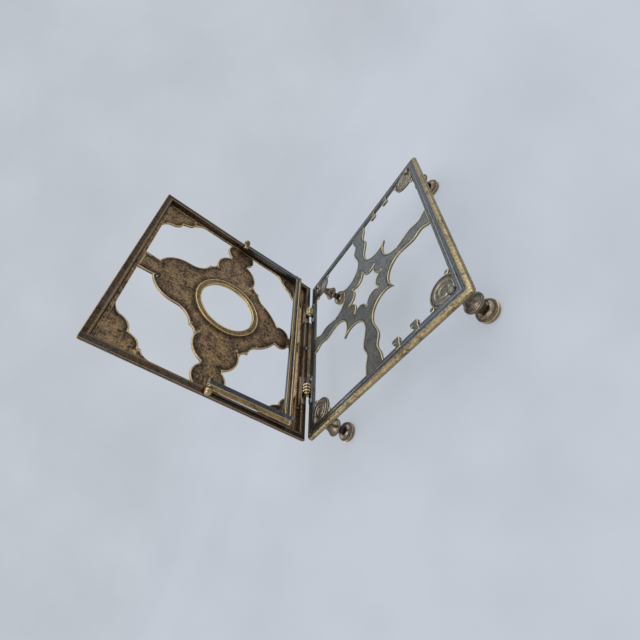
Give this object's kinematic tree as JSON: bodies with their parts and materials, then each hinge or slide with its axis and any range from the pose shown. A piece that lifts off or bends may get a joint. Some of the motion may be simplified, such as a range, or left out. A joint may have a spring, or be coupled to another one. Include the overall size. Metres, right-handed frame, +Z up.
{
  "type": "folding book display stand",
  "caption": "Folding cast-brass book display stand: pierced base panel on turned bun feet, pierced rest panel hinged to it, swing strut and book ledge.",
  "frame": {"origin": "on the table under the middle of the whole stand's bounding box, rest panel open", "axes": "+X along the hinge, +Y back from the hinge over the base panel, +Z up; books face -Y"},
  "size_m": [0.2446, 0.2396, 0.2547],
  "materials": {
    "brass": "aged, worn to a pale gold on edges",
    "bronze": "dark grey-brown patina, worn edges",
    "dark_bronze": "dark polished patina"
  },
  "bodies": {
    "base": {"base_panel": "bronze", "foot_front_left": "dark_bronze", "foot_front_right": "dark_bronze", "foot_back_left": "dark_bronze", "foot_back_right": "dark_bronze", "foot_studs": "brass", "foot_cap_nuts": "brass", "base_hinge_leaf_left": "bronze", "base_hinge_leaf_right": "bronze", "base_hinge_screws": "brass", "hinge_pin_left": "brass", "hinge_pin_right": "brass"},
    "rest": {"rest_panel": "brass", "rest_hinge_leaf_left": "bronze", "rest_hinge_leaf_right": "bronze", "rest_hinge_screws": "brass", "book_ledge": "brass", "ledge_stud": "brass", "ledge_cap_nut": "dark_bronze", "strut_post_left": "bronze", "strut_post_right": "bronze", "strut_pin_left": "brass", "strut_pin_right": "brass"},
    "strut": {"strut": "bronze", "strut_toes": "brass"}
  },
  "joints": [
    {"name": "rest_hinge", "type": "hinge", "parent": "base", "child": "rest", "pos_m": [0, -0.09036, 0.0458], "axis": [1, 0, 0], "range_deg": [-81.5, 28.5]},
    {"name": "strut_hinge", "type": "hinge", "parent": "rest", "child": "strut", "pos_m": [0, -0.07544, 0.14837], "axis": [1, 0, 0], "range_deg": [0, 177.8]}
  ]
}
